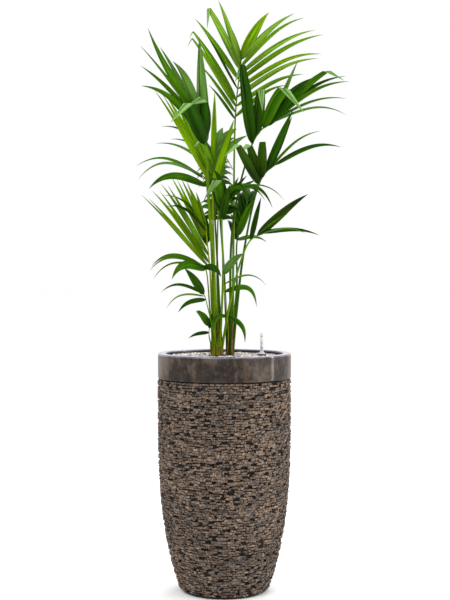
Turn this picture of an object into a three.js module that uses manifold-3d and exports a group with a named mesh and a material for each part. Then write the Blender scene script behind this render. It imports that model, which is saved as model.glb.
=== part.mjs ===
// A kentia palm in a tall round planter clad in split stone, in millimetres, +Z up.
// The origin is the middle of the planter's flat underside. +X is the plant's right, +Y its back.
import * as THREE from "three";
import { mergeVertices } from "three/addons/utils/BufferGeometryUtils.js";
import Module from "manifold-3d";

const wasm = await Module();
wasm.setup();

// ---- Planter ------------------------------------------------------------------------------
const GAP = 0.3; // between pieces that touch
const PLANTER_HEIGHT = 710;
const PLANTER_RADIUS = 200;
const ROUND = 44; // facets of a lathed piece: two to a stone
const WALL = 24;
const FLOOR = 40;
const BAND_HEIGHT = 74; // the smooth band under the lip
const BAND_EDGE = 2.5; // rounding of the band's edges
const CLAD_INSET = 1; // the stone lies this far inside the band's face
const FOOT_RADIUS = 120; // the disc that the planter stands on
const FOOT_HEIGHT = 4;
const TUB_FOOT_RADIUS = 131;
const TUB_UPRIGHT_FROM = 570; // the wall stands upright above this height
const TUB_CURVE = 3.1; // how late the wall turns in towards the foot
const STONES = 22; // stones round a course; each stands for a few of the real chips
const COURSES = 16;
const STONE_EDGE = 7; // a stone's face ends this far from the middle of the seam over it
const SEAM_DEPTH = 5; // of the seam between two courses
const JOINT_DEPTH = 3.5; // of the joint between two stones
const STONE_STRAY = 0.8; // how far a stone stands out or back

const GRAVEL_DEPTH = 12;
const GRAVEL_CROWN = 2; // the topping rises this much towards the middle
const GRAVEL_RINGS = [0.98, 0.85, 0.71, 0.57, 0.43]; // of its radius, with a pebble's top or a dip
const GRAVEL_DIP = 2.9; // between the larger pebbles
const GRAVEL_LEVEL = 38; // it is level this near to a stem or the gauge
const GRAVEL_EDGE_TOP = PLANTER_HEIGHT - 11;
const GROUND = GRAVEL_EDGE_TOP + GRAVEL_CROWN + GAP; // the stems are cut flat here

// ---- Water gauge --------------------------------------------------------------------------
const GAUGE_AT = [113, 22];
const GAUGE_DISC = { radius: 13.5, height: 4 };
const GAUGE_DOME = { radius: 9, height: 9 };
const GAUGE_TUBE = { radius: 4.8, height: 52, cap: 1.2 };
const GAUGE_ROUND = 20;
const GAUGE_DOME_STEPS = 4;

// ---- Stems --------------------------------------------------------------------------------
// A stem is a short cane. Its stalks stand round it on its root flare, cut to its side.
const FLARE_HEIGHT = 14;
const FLARE_STEPS = 3;
const STEM_SIDES = 12;
const STEM_STEPS = 8;
const STEMS = {
  left: { at: [-22, 8], radius: 11.9, flare: 17, height: 150, lean: [-6, -4], tip: 4 },
  right: { at: [16, 30], radius: 7.4, flare: 12, height: 165, lean: [3, 3], tip: 2.5 },
};

// ---- Fronds -------------------------------------------------------------------------------
// A frond's rib runs from its foot beside the stem, through bend, to neck, where its leaflets
// start, and on to tip. around is the foot's place round the stem in degrees from +X, foot its
// height over the ground, and stalk the rib's radius there. A fan is a row of leaflets: on says
// from where to where along the leafy part of the rib, and first, middle and last are how far
// those leaflets reach from root to tip. width is a leaflet's widest, and arch its rise over the
// straight line from root to tip, as a share of its length: one value, or the first leaflet's and
// the last one's. turn is how far in degrees the leaflets turn their edge to the front.
const FRONDS = {
  frond_centre_tall: {
    stem: "right", around: 28, foot: 16, stalk: 4.3,
    bend: [28, 44, 1065], neck: [33, 60, 1414], tip: [53, 95, 1616],
    fans: [
      { on: [0.02, 0.26], count: 4, width: [10, 19], arch: 0.03,
        first: [-79, -40, 100], middle: [-127, -20, 185], last: [-128, -5, 217] },
      { on: [0.45, 1], count: 1, width: 8, arch: 0, first: [-95, -10, 162] },
      { on: [0.62, 0.8], count: 2, width: [18, 21], arch: 0.03,
        first: [-134, 10, 184], last: [-95, 20, 200] },
      { on: [0.87, 0.97], count: 2, width: [19, 14], arch: [0.02, 0.08],
        first: [-66, -20, 198], last: [-56, 35, 145] },
      { on: [0.05, 0.85], count: 7, width: 15, turn: 50, arch: 0.07,
        first: [150, -60, 90], middle: [262, -20, 128], last: [192, 10, 155] },
      { on: [0.98, 1], count: 2, width: [25, 30], arch: 0.06,
        first: [163, 15, 142], last: [88, 55, 158] },
    ],
  },
  frond_upper_left: {
    stem: "left", around: 246, foot: 16, stalk: 4.3,
    bend: [-33, -35, 980], neck: [-57, -70, 1325], tip: [-83, -110, 1438],
    fans: [
      { on: [0.1, 0.5], count: 3, width: [18, 13], arch: [0.12, 0],
        first: [-180, -80, 148], middle: [-176, -75, 182], last: [-170, -70, 214] },
      { on: [0.6, 0.75], count: 2, width: [22, 15], arch: [-0.07, 0],
        first: [-148, -60, 252], last: [-112, -45, 208] },
      { on: [0.9, 1], count: 1, width: 29, arch: 0.15, first: [-69, -15, 142] },
      { on: [0, 0.1], count: 1, width: 35, arch: 0, first: [-13, -30, 312] },
      { on: [0.03, 0.12], count: 2, width: 36, arch: 0,
        first: [-44, -85, 104], last: [0, -75, 104] },
    ],
  },
  frond_left_bright: {
    stem: "left", around: 87, foot: 16, stalk: 4.3,
    bend: [-30, 30, 960], neck: [-36, 40, 1196], tip: [-32, 60, 1295],
    fans: [
      { on: [0.1, 0.55], count: 4, width: [19, 23], arch: 0.01,
        first: [-162, -50, 302], middle: [-122, 0, 262], last: [-62, -10, 180] },
      { on: [0.7, 1], count: 1, width: 17, arch: 0, first: [3, 40, 245] },
      { on: [0, 1], count: 1, width: 27, arch: 0, first: [67, 18, 222] },
      { on: [0.75, 1], count: 1, width: 19, arch: 0.05, first: [-33, -32, 82] },
    ],
  },
  frond_left_arching: {
    stem: "left", around: 162, foot: 16, stalk: 4.3,
    bend: [-36, -12, 960], neck: [-52, -40, 1209], tip: [-63, -60, 1231],
    fans: [
      { on: [0, 0.3], count: 1, width: 28, turn: 15, arch: 0.17, first: [-168, -68, -10] },
      { on: [0.5, 1], count: 2, width: 9, arch: [0.2, 0.18],
        first: [-196, -30, 0], last: [-198, -10, 43] },
      { on: [0, 1], count: 1, width: 24, arch: 0.1, first: [30, 70, 24] },
    ],
  },
  frond_back_left: {
    stem: "left", around: 14, foot: 16, stalk: 4,
    bend: [-20, 70, 950], neck: [-36, 120, 1270], tip: [-28, 145, 1330],
    fans: [
      { on: [0, 0.7], count: 3, width: [9, 13], arch: 0.12,
        first: [-180, 58, 90], middle: [-165, 65, 110], last: [-120, 90, 95] },
      { on: [0.1, 1], count: 3, width: 31, arch: 0.08,
        first: [110, 60, 98], middle: [72, 80, 96], last: [22, 90, 84] },
    ],
  },
  frond_lower_left: {
    stem: "left", around: 125, foot: 16, stalk: 4,
    bend: [-38, 15, 850], neck: [-44, 6, 965], tip: [-56, -18, 1090],
    fans: [
      { on: [0, 0.12], count: 2, width: [14, 18], arch: 0,
        first: [-192, -52, 228], last: [-172, -20, 240] },
      { on: [0.3, 0.95], count: 4, width: [16, 18], arch: 0.01,
        first: [-138, -35, 222], middle: [-88, -10, 205], last: [-40, 10, 125] },
      { on: [0.9, 1], count: 2, width: 9, arch: 0.17,
        first: [-119, -62, 71], last: [-130, 20, 96] },
      { on: [0.62, 1], count: 1, width: 27, arch: 0, first: [-12, 50, 84] },
    ],
  },
  frond_right_upper: {
    stem: "right", around: 283, foot: 16, stalk: 4.3,
    bend: [24, -10, 1080], neck: [82, -60, 1330], tip: [152, -90, 1405],
    fans: [
      { on: [0.02, 0.2], count: 2, width: [34, 36], arch: 0.01,
        first: [-31, -70, 214], last: [14, -60, 130] },
      { on: [0.5, 1], count: 1, width: 34, arch: 0.08, first: [54, -75, 102] },
      { on: [0.6, 0.75], count: 2, width: [33, 26], arch: 0.05,
        first: [128, -40, 140], last: [164, -60, 150] },
      { on: [0.8, 1], count: 1, width: 14, arch: 0, first: [78, -20, 178] },
      { on: [0.75, 1], count: 4, width: [7, 14], arch: 0.1,
        first: [212, -80, 26], middle: [216, -50, 88], last: [208, -20, 131] },
    ],
  },
  frond_right_middle: {
    stem: "right", around: 335, foot: 16, stalk: 4.3,
    bend: [57, 0, 1004], neck: [103, -50, 1214], tip: [158, -80, 1277],
    fans: [
      { on: [0, 0.15], count: 3, width: [28, 29], arch: 0,
        first: [-64, -70, 106], middle: [-32, -50, 102], last: [1, -60, 98] },
      { on: [0.35, 0.5], count: 2, width: [20, 18], arch: 0,
        first: [82, -30, 186], last: [72, -30, 158] },
      { on: [0.6, 0.85], count: 2, width: [8, 14], arch: 0.11,
        first: [146, -20, 112], last: [196, -30, 60] },
    ],
  },
  frond_right_low: {
    stem: "left", around: 339, foot: 16, stalk: 4,
    bend: [23, -48, 892], neck: [65, -75, 1028], tip: [108, -95, 1069],
    fans: [
      { on: [0.3, 0.75], count: 2, width: [16, 26], arch: 0.01,
        first: [28, -40, 128], last: [148, -70, 128] },
      { on: [0.7, 1], count: 1, width: 6, arch: 0.04, first: [88, -60, 60] },
      { on: [0.8, 1], count: 2, width: [5, 15], arch: 0.08,
        first: [130, -60, 8], last: [172, -40, -8] },
    ],
  },
  frond_centre_right: {
    stem: "left", around: 304, foot: 16, stalk: 4,
    bend: [-4, -40, 945], neck: [-7, -62, 1110], tip: [5, -80, 1195],
    fans: [
      { on: [0.7, 1], count: 1, width: 21, arch: 0.5, first: [64, -60, -30] },
      { on: [0.95, 1], count: 2, width: [15, 6], arch: [0.22, 0.18],
        first: [134, -80, -46], last: [170, -50, -26] },
      { on: [0, 0.6], count: 4, width: [22, 17], arch: 0.03,
        first: [22, -70, 98], middle: [58, -60, 92], last: [92, -40, 62] },
      { on: [0.35, 1], count: 1, width: 34, arch: 0, first: [-17, -50, 74] },
      { on: [0.2, 0.8], count: 2, width: 26, arch: [0.1, 0.2],
        first: [52, 10, 4], last: [70, -25, 24] },
      { on: [0.2, 0.9], count: 2, width: 20, arch: 0.1,
        first: [-34, 20, 64], last: [-35, -40, 70] },
    ],
  },
  frond_back_right: {
    stem: "right", around: 80, foot: 16, stalk: 4,
    bend: [38, 110, 900], neck: [40, 150, 1053], tip: [74, 180, 1179],
    fans: [
      { on: [0, 1], count: 1, width: 12, arch: 0.14, first: [92, 40, -6] },
      { on: [0.1, 1], count: 3, width: [25, 18], arch: 0.06,
        first: [56, 30, 124], last: [34, 90, 44] },
      { on: [0, 1], count: 4, width: 22, arch: 0.1,
        first: [-30, 130, 70], middle: [-26, 130, 90], last: [-6, 110, 60] },
    ],
  },
  frond_low_left: {
    stem: "left", around: 214, foot: 16, stalk: 3,
    bend: [-44, -20, 850], neck: [-54, -52, 958], tip: [-78, -80, 980],
    fans: [
      { on: [0.05, 1], count: 1, width: 27, arch: 0.24, first: [-98, -60, -30] },
      { on: [0.1, 0.8], count: 3, width: [7, 12], arch: 0.19,
        first: [-148, -60, -30], middle: [-156, -50, -13], last: [-140, -20, -5] },
      { on: [0.3, 1], count: 1, width: 20, arch: 0.12, first: [50, -60, -30] },
    ],
  },
  frond_low_left_small: {
    stem: "left", around: 275, foot: 16, stalk: 2.5,
    bend: [-38, -47, 800], neck: [-55, -55, 872], tip: [-62, -65, 890],
    fans: [
      { on: [0, 1], count: 1, width: 17, arch: 0.12, first: [-78, -50, -34] },
      { on: [0.3, 1], count: 2, width: [6, 11], arch: 0.17,
        first: [-110, -40, -28], last: [-124, -30, 10] },
      { on: [0.8, 1], count: 1, width: 22, arch: 0.05, first: [-55, -30, 77] },
    ],
  },
  shoot_left: {
    stem: "left", around: 190, foot: 16, stalk: 2.2,
    bend: [-44, -4, 750], neck: [-46, -14, 770], tip: [-44, -24, 795],
    fans: [
      { on: [0.1, 0.9], count: 2, width: [10, 21], arch: 0.08,
        first: [-60, -20, -16], last: [-34, -30, 46] },
      { on: [0.6, 1], count: 1, width: 12, arch: 0.1, first: [10, -30, 48] },
    ],
  },
  shoot_right: {
    stem: "right", around: 235, foot: 16, stalk: 2.2,
    bend: [12, 6, 775], neck: [8, -14, 820], tip: [-5, -58, 954],
    fans: [
      { on: [0.02, 0.6], count: 2, width: [16, 15], arch: [0.32, 0.38],
        first: [52, -30, -74], last: [94, -40, -40] },
      { on: [0.02, 1], count: 1, width: 16, arch: 0.35, first: [-42, -40, -42] },
      { on: [0.97, 1], count: 1, width: 23, arch: 0.08, first: [60, -20, 62] },
      { on: [0.75, 1], count: 1, width: 6, arch: 0.2, first: [124, -30, 2] },
    ],
  },
  frond_back_tall: {
    stem: "right", around: 130, foot: 16, stalk: 4.3,
    bend: [-4, 115, 1000], neck: [-24, 185, 1235], tip: [-30, 262, 1300],
    fans: [
      { on: [0, 1], count: 6, width: 19, arch: 0.14,
        first: [-58, 70, -10], middle: [-64, 120, 10], last: [-30, 140, 40] },
      { on: [0, 1], count: 6, width: 19, arch: 0.14,
        first: [56, 60, -10], middle: [62, 120, 10], last: [28, 140, 40] },
    ],
  },
  frond_back_low: {
    stem: "left", around: 50, foot: 16, stalk: 4,
    bend: [-22, 85, 930], neck: [-20, 150, 1120], tip: [-14, 235, 1180],
    fans: [
      { on: [0, 1], count: 5, width: 18, arch: 0.16,
        first: [-60, 50, -10], middle: [-66, 110, 10], last: [-26, 130, 25] },
      { on: [0, 1], count: 5, width: 18, arch: 0.16,
        first: [58, 50, -10], middle: [64, 110, 10], last: [26, 130, 25] },
    ],
  },
};

const STALK_OUT = 0.6; // how much of a stalk's radius stands clear of its stem
const RIB_SIDES = 5;
const RIB_STEPS = 12;
const NECK_AT = 2 / 3; // where the leafy part starts along the rib's curve
const RIB_NECK = 0.6; // the rib's radius at its neck and its tip, as shares of the stalk's
const RIB_TIP = 0.4;
const LAST_LEAF = 0.98; // the last leaflets grow just short of the rib's end
const LEAF_SIDES = 3;
const LEAF_STEPS = 4;
const SHORT_LEAF = 150; // a leaflet shorter than this has a step fewer
const LEAF_THICK = 0.013; // of its length
const LEAF_THIN = 2; // and never under this
const LEAF_SPREAD = 0.16; // leaflets stand in turn this far forward and back, by their length
const LEAF_STRAY = 0.015; // how far a leaflet strays from its fan, as a share of its length
const WIDTH_STRAY = 0.1;
const NUDGES = [0, 14, -14, 28, -28, 42, -42, 60, -60]; // tried in depth until it is clear
const CLEAR = 0.4; // kept round a leaflet

// ---- Solids -------------------------------------------------------------------------------
function solidOf(geometry) {
  const plain = geometry.clone();
  plain.deleteAttribute("normal");
  plain.deleteAttribute("uv");
  const merged = mergeVertices(plain, 1e-4);
  return new wasm.Manifold(
    new wasm.Mesh({
      numProp: 3,
      vertProperties: new Float32Array(merged.attributes.position.array),
      triVerts: new Uint32Array(merged.index.array),
    }),
  );
}

function geometryOf(solid) {
  const mesh = solid.getMesh();
  const geometry = new THREE.BufferGeometry();
  geometry.setAttribute("position", new THREE.BufferAttribute(mesh.vertProperties, 3));
  geometry.setIndex(new THREE.BufferAttribute(mesh.triVerts, 1));
  geometry.computeVertexNormals();
  return geometry;
}

const volume = (solid) => solid.volume();
const largest = (solid) => solid.decompose().sort((a, b) => volume(b) - volume(a))[0];

function mesh(name, geometry, color, roughness, metalness = 0) {
  const made = new THREE.Mesh(
    geometry,
    new THREE.MeshStandardMaterial({ color, roughness, metalness }),
  );
  made.name = name;
  return made;
}

// A ring or disc turned about +Z from [radius, height] points, listed with the solid on the left.
// relief(row, column, spot) says how far a point of the profile moves [out, up] at a facet's edge.
function turned(profile, facets = ROUND, relief = () => [0, 0]) {
  const points = profile.map(([r, z]) => new THREE.Vector2(r, z));
  if (profile[0][0] > 0) points.push(points[0].clone());
  const body = new THREE.LatheGeometry(points, facets).rotateX(Math.PI / 2);
  const position = body.attributes.position;
  const spot = new THREE.Vector3();
  for (let i = 0; i < position.count; i++) {
    const row = i % points.length;
    const column = Math.floor(i / points.length) % facets;
    spot.fromBufferAttribute(position, i);
    const [out, up] = relief(row, column, spot);
    const radius = Math.hypot(spot.x, spot.y);
    const share = radius > 0 ? 1 + out / radius : 1;
    position.setXYZ(i, spot.x * share, spot.y * share, spot.z + up);
  }
  return body;
}

// A closed rod along a curve: section(t) gives its half width and half thickness at t.
function rod(curve, sides, steps, section, pointed, across) {
  const geometry = new THREE.CylinderGeometry(pointed ? 0 : 1, 1, 1, sides, steps);
  const position = geometry.attributes.position;
  const spot = new THREE.Vector3();
  for (let i = 0; i < position.count; i++) {
    const t = position.getY(i) + 0.5;
    const turn = Math.atan2(position.getZ(i), position.getX(i));
    const size = pointed && t > 1 - 1e-6 ? [0, 0] : section(t);
    const ring = Math.hypot(position.getX(i), position.getZ(i)) > 1e-6 ? 1 : 0;
    const along = curve.getTangent(t);
    const side = across.clone().cross(along).normalize();
    const up = side.clone().cross(along);
    spot.copy(curve.getPoint(t));
    spot.addScaledVector(side, ring * size[0] * Math.cos(turn));
    spot.addScaledVector(up, ring * size[1] * Math.sin(turn));
    position.setXYZ(i, spot.x, spot.y, spot.z);
  }
  return geometry;
}

// ---- Planter ------------------------------------------------------------------------------
function tubRadius(z) {
  const low = Math.max(0, 1 - z / TUB_UPRIGHT_FROM);
  const top = PLANTER_RADIUS - CLAD_INSET;
  return top - (top - TUB_FOOT_RADIUS) * low ** TUB_CURVE;
}

const bandBottom = PLANTER_HEIGHT - BAND_HEIGHT;
const innerRadius = (z) => tubRadius(z) - WALL + CLAD_INSET;

// The wall is clad in courses of stones that lie in bond: a joint at every second facet's edge.
function planterBody() {
  const top = bandBottom - GAP;
  const pitch = (top - FOOT_HEIGHT) / COURSES;
  const foot = [[0, 0], [FOOT_RADIUS, 0], [FOOT_RADIUS, FOOT_HEIGHT]];
  const outer = [];
  for (let course = 0; course < COURSES; course++) {
    const low = FOOT_HEIGHT + course * pitch;
    for (const z of [low, low + STONE_EDGE, low + pitch - STONE_EDGE]) outer.push([tubRadius(z), z]);
  }
  outer.push([tubRadius(top), top]);
  const relief = (row, column) => {
    const k = row - foot.length;
    if (k < 0 || k >= outer.length) return [0, 0];
    if (k % 3 === 0) return [-SEAM_DEPTH, 0];
    const course = Math.floor(k / 3);
    if ((column + course) % 2) return [-JOINT_DEPTH, 0];
    return [STONE_STRAY * stray(course, column, 0), 0];
  };
  const inner = [top, TUB_UPRIGHT_FROM, 250, 110, FLOOR].map((z) => [innerRadius(z), z]);
  return turned([...foot, ...outer, ...inner, [0, FLOOR]], STONES * 2, relief);
}

function planterRim() {
  const inside = PLANTER_RADIUS - WALL;
  const e = BAND_EDGE;
  return turned([
    [inside, bandBottom], [PLANTER_RADIUS - e, bandBottom], [PLANTER_RADIUS, bandBottom + e],
    [PLANTER_RADIUS, PLANTER_HEIGHT - e], [PLANTER_RADIUS - e, PLANTER_HEIGHT],
    [inside + e, PLANTER_HEIGHT], [inside, PLANTER_HEIGHT - e],
  ]);
}

const gravelBottom = GRAVEL_EDGE_TOP - GRAVEL_DEPTH;

function pottingSoil() {
  const heights = [FLOOR + GAP, 110, 250, TUB_UPRIGHT_FROM, gravelBottom - GAP];
  const wall = heights.map((z) => [innerRadius(z) - GAP * 2, z]);
  return turned([[0, FLOOR + GAP], ...wall, [0, gravelBottom - GAP]]);
}

function gravelTopping() {
  const edge = PLANTER_RADIUS - WALL - GAP;
  const crown = GRAVEL_EDGE_TOP + GRAVEL_CROWN;
  const side = [[0, gravelBottom], [edge, gravelBottom], [edge, GRAVEL_EDGE_TOP]];
  const rings = GRAVEL_RINGS.map((share) => [edge * share, crown]);
  const carried = [...Object.values(STEMS).map(({ at }) => at), GAUGE_AT];
  const relief = (row, column, spot) => {
    const k = row - side.length;
    if (k < 0 || k >= rings.length || (k + column) % 2) return [0, 0];
    const level = carried.some(([x, y]) => Math.hypot(spot.x - x, spot.y - y) < GRAVEL_LEVEL);
    return [0, level ? 0 : -GRAVEL_DIP];
  };
  return turned([...side, ...rings, [0, crown]], ROUND, relief);
}

// ---- Water gauge --------------------------------------------------------------------------
function gaugeBase() {
  const dome = [];
  for (let i = 0; i < GAUGE_DOME_STEPS; i++) {
    const angle = (i / GAUGE_DOME_STEPS) * (Math.PI / 3);
    const r = GAUGE_DOME.radius * Math.cos(angle);
    dome.push([r, GAUGE_DISC.height + (GAUGE_DOME.height * Math.sin(angle)) / Math.sin(Math.PI / 3)]);
  }
  const topZ = GAUGE_DISC.height + GAUGE_DOME.height;
  return turned(
    [[0, 0], [GAUGE_DISC.radius, 0], [GAUGE_DISC.radius, GAUGE_DISC.height], ...dome,
      [GAUGE_TUBE.radius, topZ], [0, topZ]],
    GAUGE_ROUND,
  ).translate(...GAUGE_AT, GROUND);
}

function gaugeTube() {
  const { radius, height, cap } = GAUGE_TUBE;
  const low = GROUND + GAUGE_DISC.height + GAUGE_DOME.height + GAP;
  return turned(
    [[0, 0], [radius, 0], [radius, height - cap], [radius - cap, height], [0, height]],
    GAUGE_ROUND,
  ).translate(...GAUGE_AT, low);
}

// ---- Stems --------------------------------------------------------------------------------
const vector = (p) => new THREE.Vector3(...p);

function stem({ at, radius, flare, height, lean, tip }, margin = 0) {
  const foot = vector([...at, GROUND]);
  const head = vector([at[0] + lean[0], at[1] + lean[1], GROUND + height]);
  const upright = foot.clone().setZ(GROUND + height / 2);
  const curve = new THREE.QuadraticBezierCurve3(foot, upright, head);
  const section = (t) => {
    const up = Math.max(0, 1 - (t * height) / FLARE_HEIGHT);
    const cane = radius + (tip - radius) * t ** 1.5;
    const round = cane + (flare - radius) * up * up + margin;
    return [round, round];
  };
  const steps = STEM_STEPS + FLARE_STEPS;
  return rod(curve, STEM_SIDES, steps, section, false, vector([0, 1, 0]));
}

// ---- Fronds -------------------------------------------------------------------------------
// A number between -1 and 1 that is always the same for the same seeds.
function stray(a, b, c) {
  const mixed = Math.sin(a * 12.9898 + b * 78.233 + c * 37.719) * 43758.5453;
  return 2 * (mixed - Math.floor(mixed)) - 1;
}

function ribCurve(frond) {
  const { at, radius } = STEMS[frond.stem];
  const out = radius + frond.stalk * STALK_OUT;
  const turn = THREE.MathUtils.degToRad(frond.around);
  const x = at[0] + out * Math.cos(turn);
  const y = at[1] + out * Math.sin(turn);
  const foot = vector([x, y, GROUND + frond.foot]);
  const points = [foot, vector(frond.bend), vector(frond.neck), vector(frond.tip)];
  return new THREE.CatmullRomCurve3(points, false, "catmullrom", 0.5);
}

function ribRadius(frond, t) {
  const neck = frond.stalk * RIB_NECK;
  const tip = frond.stalk * RIB_TIP;
  if (t < NECK_AT) return frond.stalk + (neck - frond.stalk) * (t / NECK_AT);
  return neck + (tip - neck) * ((t - NECK_AT) / (1 - NECK_AT));
}

// A value between the first leaflet's and the last one's.
const between = (value, share) =>
  Array.isArray(value) ? value[0] + (value[1] - value[0]) * share : value;

function reachAt(fan, share) {
  const first = vector(fan.first);
  const last = vector(fan.last ?? fan.first);
  if (!fan.middle) return first.lerp(last, share);
  return first
    .multiplyScalar((1 - share) * (1 - 2 * share))
    .addScaledVector(vector(fan.middle), 4 * share * (1 - share))
    .addScaledVector(last, share * (2 * share - 1));
}

// A leaflet's half width along its length, from a narrow root to a long point.
const leafOutline = (t) => Math.min(1, 2.6 * Math.sqrt(t + 0.004) * (1 - t));

// The line of a leaflet that rises over its chord and droops to its tip.
class LeafCurve extends THREE.Curve {
  constructor(root, reach, arch) {
    super();
    this.root = root;
    this.reach = reach;
    const length = reach.length();
    const chord = reach.clone().normalize();
    this.rise = new THREE.Vector3(0, 0, 1).addScaledVector(chord, -chord.z);
    this.rise.multiplyScalar(arch * length * 2.6);
  }
  getPoint(t, target = new THREE.Vector3()) {
    return target.copy(this.root).addScaledVector(this.reach, t)
      .addScaledVector(this.rise, t - t ** 3);
  }
}

function leafSolid({ root, width, arch, turn }, reach, margin) {
  const curve = new LeafCurve(root, reach, arch);
  const thick = Math.max(LEAF_THIN, LEAF_THICK * reach.length());
  const section = (t) => [
    (width / 2) * leafOutline(t) * 1.15 + margin,
    (thick / 1.5) * (1 - 0.4 * t) + margin,
  ];
  const chord = reach.clone().normalize();
  const facing = vector([0, -1, 0.35]).projectOnPlane(chord).normalize();
  facing.applyAxisAngle(chord, turn);
  const steps = reach.length() < SHORT_LEAF ? LEAF_STEPS - 1 : LEAF_STEPS;
  return solidOf(rod(curve, LEAF_SIDES, steps, section, true, facing));
}

function leaflets(frond, number) {
  const curve = ribCurve(frond);
  const list = [];
  frond.fans.forEach((fan, row) => {
    for (let i = 0; i < fan.count; i++) {
      const share = fan.count > 1 ? i / (fan.count - 1) : 0;
      const along = fan.on[0] + (fan.on[1] - fan.on[0]) * share;
      const root = curve.getPoint(NECK_AT + (1 - NECK_AT) * along * LAST_LEAF);
      const reach = reachAt(fan, share);
      const wander = LEAF_STRAY * reach.length();
      const spread = LEAF_SPREAD * reach.length() * (i % 2 ? 1 : -1);
      reach.x += wander * stray(number, row, i + 0.1);
      reach.y += wander * stray(number, row, i + 0.2) + spread;
      reach.z += wander * stray(number, row, i + 0.3);
      const uneven = 1 - WIDTH_STRAY + WIDTH_STRAY * stray(number, row, i);
      const width = between(fan.width, share) * uneven;
      const turn = THREE.MathUtils.degToRad(fan.turn ?? 0);
      list.push({ root, reach, width, arch: between(fan.arch, share), turn });
    }
  });
  return list;
}

function boxesMeet(a, b) {
  const one = a.boundingBox();
  const two = b.boundingBox();
  return [0, 1, 2].every((k) => one.min[k] <= two.max[k] && two.min[k] <= one.max[k]);
}

const clash = (solid, others) =>
  others.some((other) => boxesMeet(solid, other) && volume(solid.intersect(other)) > 0);

function ribSolid(frond) {
  const section = (t) => [ribRadius(frond, t), ribRadius(frond, t)];
  const rib = rod(ribCurve(frond), RIB_SIDES, RIB_STEPS, section, false, vector([0, 1, 0]));
  const cane = solidOf(stem(STEMS[frond.stem], GAP));
  return largest(solidOf(rib).subtract(cane));
}

// Grows each frond's leaflets on its rib. One that would touch another piece is moved in depth
// until it is clear, or left out.
function growFronds(fixed) {
  const names = Object.keys(FRONDS);
  const ribs = names.map((name) => ribSolid(FRONDS[name]));
  const placed = names.map(() => []);
  names.forEach((name, number) => {
    const others = [...fixed, ...ribs.filter((_, k) => k !== number), ...placed.flat()];
    for (const leaf of leaflets(FRONDS[name], number)) {
      for (const nudge of NUDGES) {
        const moved = leaf.reach.clone().setY(leaf.reach.y + nudge);
        if (clash(leafSolid(leaf, moved, CLEAR), others)) continue;
        placed[number].push(leafSolid(leaf, moved, 0));
        break;
      }
    }
  });
  return names.map((name, k) => [name, largest(wasm.Manifold.union([ribs[k], ...placed[k]]))]);
}

// ---- The whole plant ----------------------------------------------------------------------
const SOIL = 0x3a2c22;
const STONE = 0x6e5c4e;
const GLAZE = 0x5b524e;
const PEBBLE = 0xb9b0a3;
const CANE = 0x6f7a3a;
const LEAF = 0x3f7a1e;
const CLEAR_PLASTIC = 0xd8dcdc;
const PALE_PLASTIC = 0x9a9ca0;

const stems = Object.entries(STEMS).map(([side, sizes]) => ["stem_" + side, stem(sizes)]);
const fronds = growFronds(stems.map(([, geometry]) => solidOf(geometry)));

const group = new THREE.Group();
group.add(mesh("planter_body", planterBody(), STONE, 0.9));
group.add(mesh("planter_rim", planterRim(), GLAZE, 0.35));
group.add(mesh("potting_soil", pottingSoil(), SOIL, 1));
group.add(mesh("gravel_topping", gravelTopping(), PEBBLE, 0.85));
group.add(mesh("water_gauge_base", gaugeBase(), PALE_PLASTIC, 0.5));
group.add(mesh("water_gauge_tube", gaugeTube(), CLEAR_PLASTIC, 0.2));
for (const [name, geometry] of stems) group.add(mesh(name, geometry, CANE, 0.8));
for (const [name, solid] of fronds) group.add(mesh(name, geometryOf(solid), LEAF, 0.5));

export default group;
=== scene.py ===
"""The looks of a kentia palm in a tall planter clad in split stone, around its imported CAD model.

Sizes are in millimetres until a mesh is made. +Z is up, +X the plant's right, +Y its back.
"""
import random
from math import cos, exp, floor, pi, radians, sin, sqrt

import bmesh
import bpy
import numpy as np
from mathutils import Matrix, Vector, noise


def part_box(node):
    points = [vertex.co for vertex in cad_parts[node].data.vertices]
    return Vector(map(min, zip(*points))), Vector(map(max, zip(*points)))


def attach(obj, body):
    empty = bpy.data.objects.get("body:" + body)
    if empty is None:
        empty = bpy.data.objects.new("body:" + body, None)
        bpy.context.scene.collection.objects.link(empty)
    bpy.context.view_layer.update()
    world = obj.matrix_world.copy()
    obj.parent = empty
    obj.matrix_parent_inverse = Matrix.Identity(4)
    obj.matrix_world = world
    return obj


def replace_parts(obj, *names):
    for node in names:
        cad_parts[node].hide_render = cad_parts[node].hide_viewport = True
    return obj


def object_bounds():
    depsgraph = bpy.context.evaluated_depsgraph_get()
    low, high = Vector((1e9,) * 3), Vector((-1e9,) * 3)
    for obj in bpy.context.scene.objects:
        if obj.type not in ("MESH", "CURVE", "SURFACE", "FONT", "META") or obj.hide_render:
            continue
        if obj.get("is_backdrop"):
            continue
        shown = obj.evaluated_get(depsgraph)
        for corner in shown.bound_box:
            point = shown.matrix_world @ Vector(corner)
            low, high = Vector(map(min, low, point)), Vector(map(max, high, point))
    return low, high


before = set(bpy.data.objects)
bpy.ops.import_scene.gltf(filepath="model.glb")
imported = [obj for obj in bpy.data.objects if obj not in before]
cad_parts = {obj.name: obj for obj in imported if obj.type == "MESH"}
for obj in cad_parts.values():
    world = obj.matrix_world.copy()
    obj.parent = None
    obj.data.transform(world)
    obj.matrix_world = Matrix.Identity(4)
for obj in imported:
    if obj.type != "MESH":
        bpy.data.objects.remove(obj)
CAD_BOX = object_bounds()
MM = 0.001
UP = np.array([0.0, 0.0, 1.0])


def corners(node):
    """A node's lowest and highest corner."""
    return [np.array(corner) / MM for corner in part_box(node)]


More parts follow.
